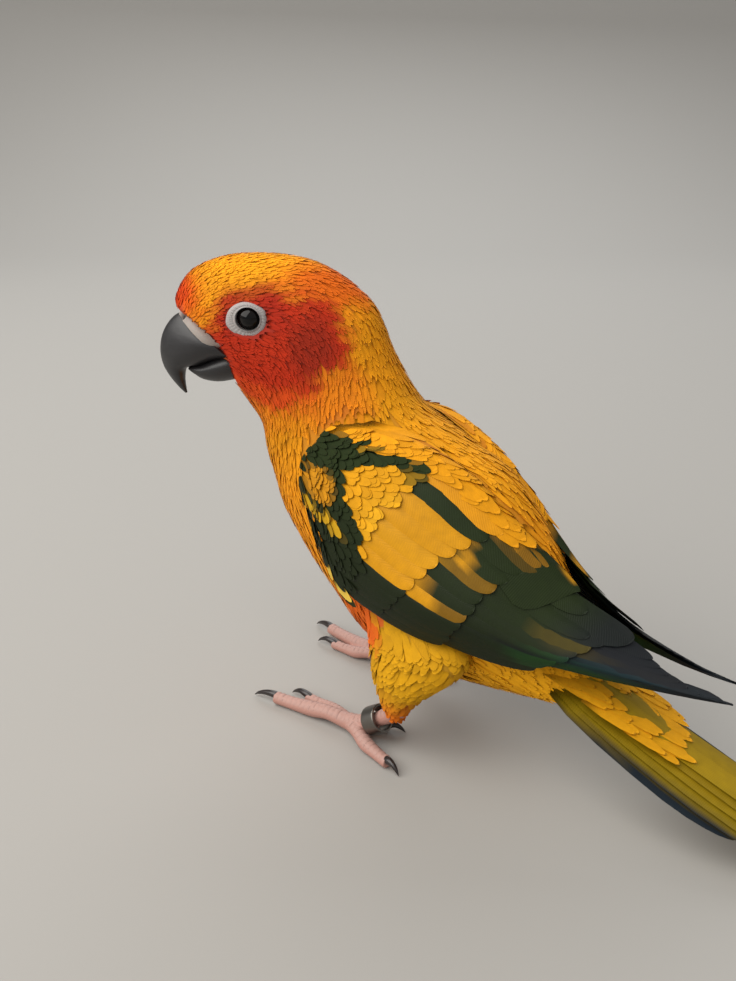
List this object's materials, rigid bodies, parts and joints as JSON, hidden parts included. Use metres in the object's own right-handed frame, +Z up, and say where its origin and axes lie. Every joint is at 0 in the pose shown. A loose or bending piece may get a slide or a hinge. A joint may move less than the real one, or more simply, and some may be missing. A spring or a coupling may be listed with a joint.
{
  "type": "sun conure",
  "caption": "Life-size perched sun conure, a small yellow, orange and green parrot with a long tail, standing on both feet with its head turned a little and a metal ring on one leg.",
  "frame": {"origin": "middle of the footprint on the floor, under the bird", "axes": "-X the way the body faces, +X towards the tail tip, -Y its left side, +Z up"},
  "size_m": [0.2356, 0.0572, 0.1394],
  "materials": {
    "red_orange_feathers": "soft feather, matt",
    "yellow_feathers": "soft feather, matt",
    "green_feathers": "smooth feather, faint sheen",
    "olive_feathers": "smooth feather, faint sheen",
    "horn": "satin black horn",
    "claw_horn": "satin dark brown horn",
    "bare_skin": "fine wrinkled pale skin",
    "scaly_skin": "scaly skin, matt",
    "eye": "wet black",
    "band_metal": "worn bare metal"
  },
  "bodies": {
    "root": {"head": "red_orange_feathers", "neck": "yellow_feathers", "torso": "yellow_feathers", "thigh_left": "yellow_feathers", "thigh_right": "yellow_feathers", "wing_left": "green_feathers", "wing_right": "green_feathers", "tail": "olive_feathers", "bill_upper": "horn", "bill_lower": "horn", "cere": "bare_skin", "eye_ring_left": "bare_skin", "eye_ring_right": "bare_skin", "eye_left": "eye", "eye_right": "eye", "foot_left": "scaly_skin", "foot_right": "scaly_skin", "claw_left_toe1": "claw_horn", "claw_left_toe2": "claw_horn", "claw_left_toe3": "claw_horn", "claw_left_toe4": "claw_horn", "claw_right_toe1": "claw_horn", "claw_right_toe2": "claw_horn", "claw_right_toe3": "claw_horn", "claw_right_toe4": "claw_horn", "leg_band": "band_metal"}
  },
  "joints": []
}
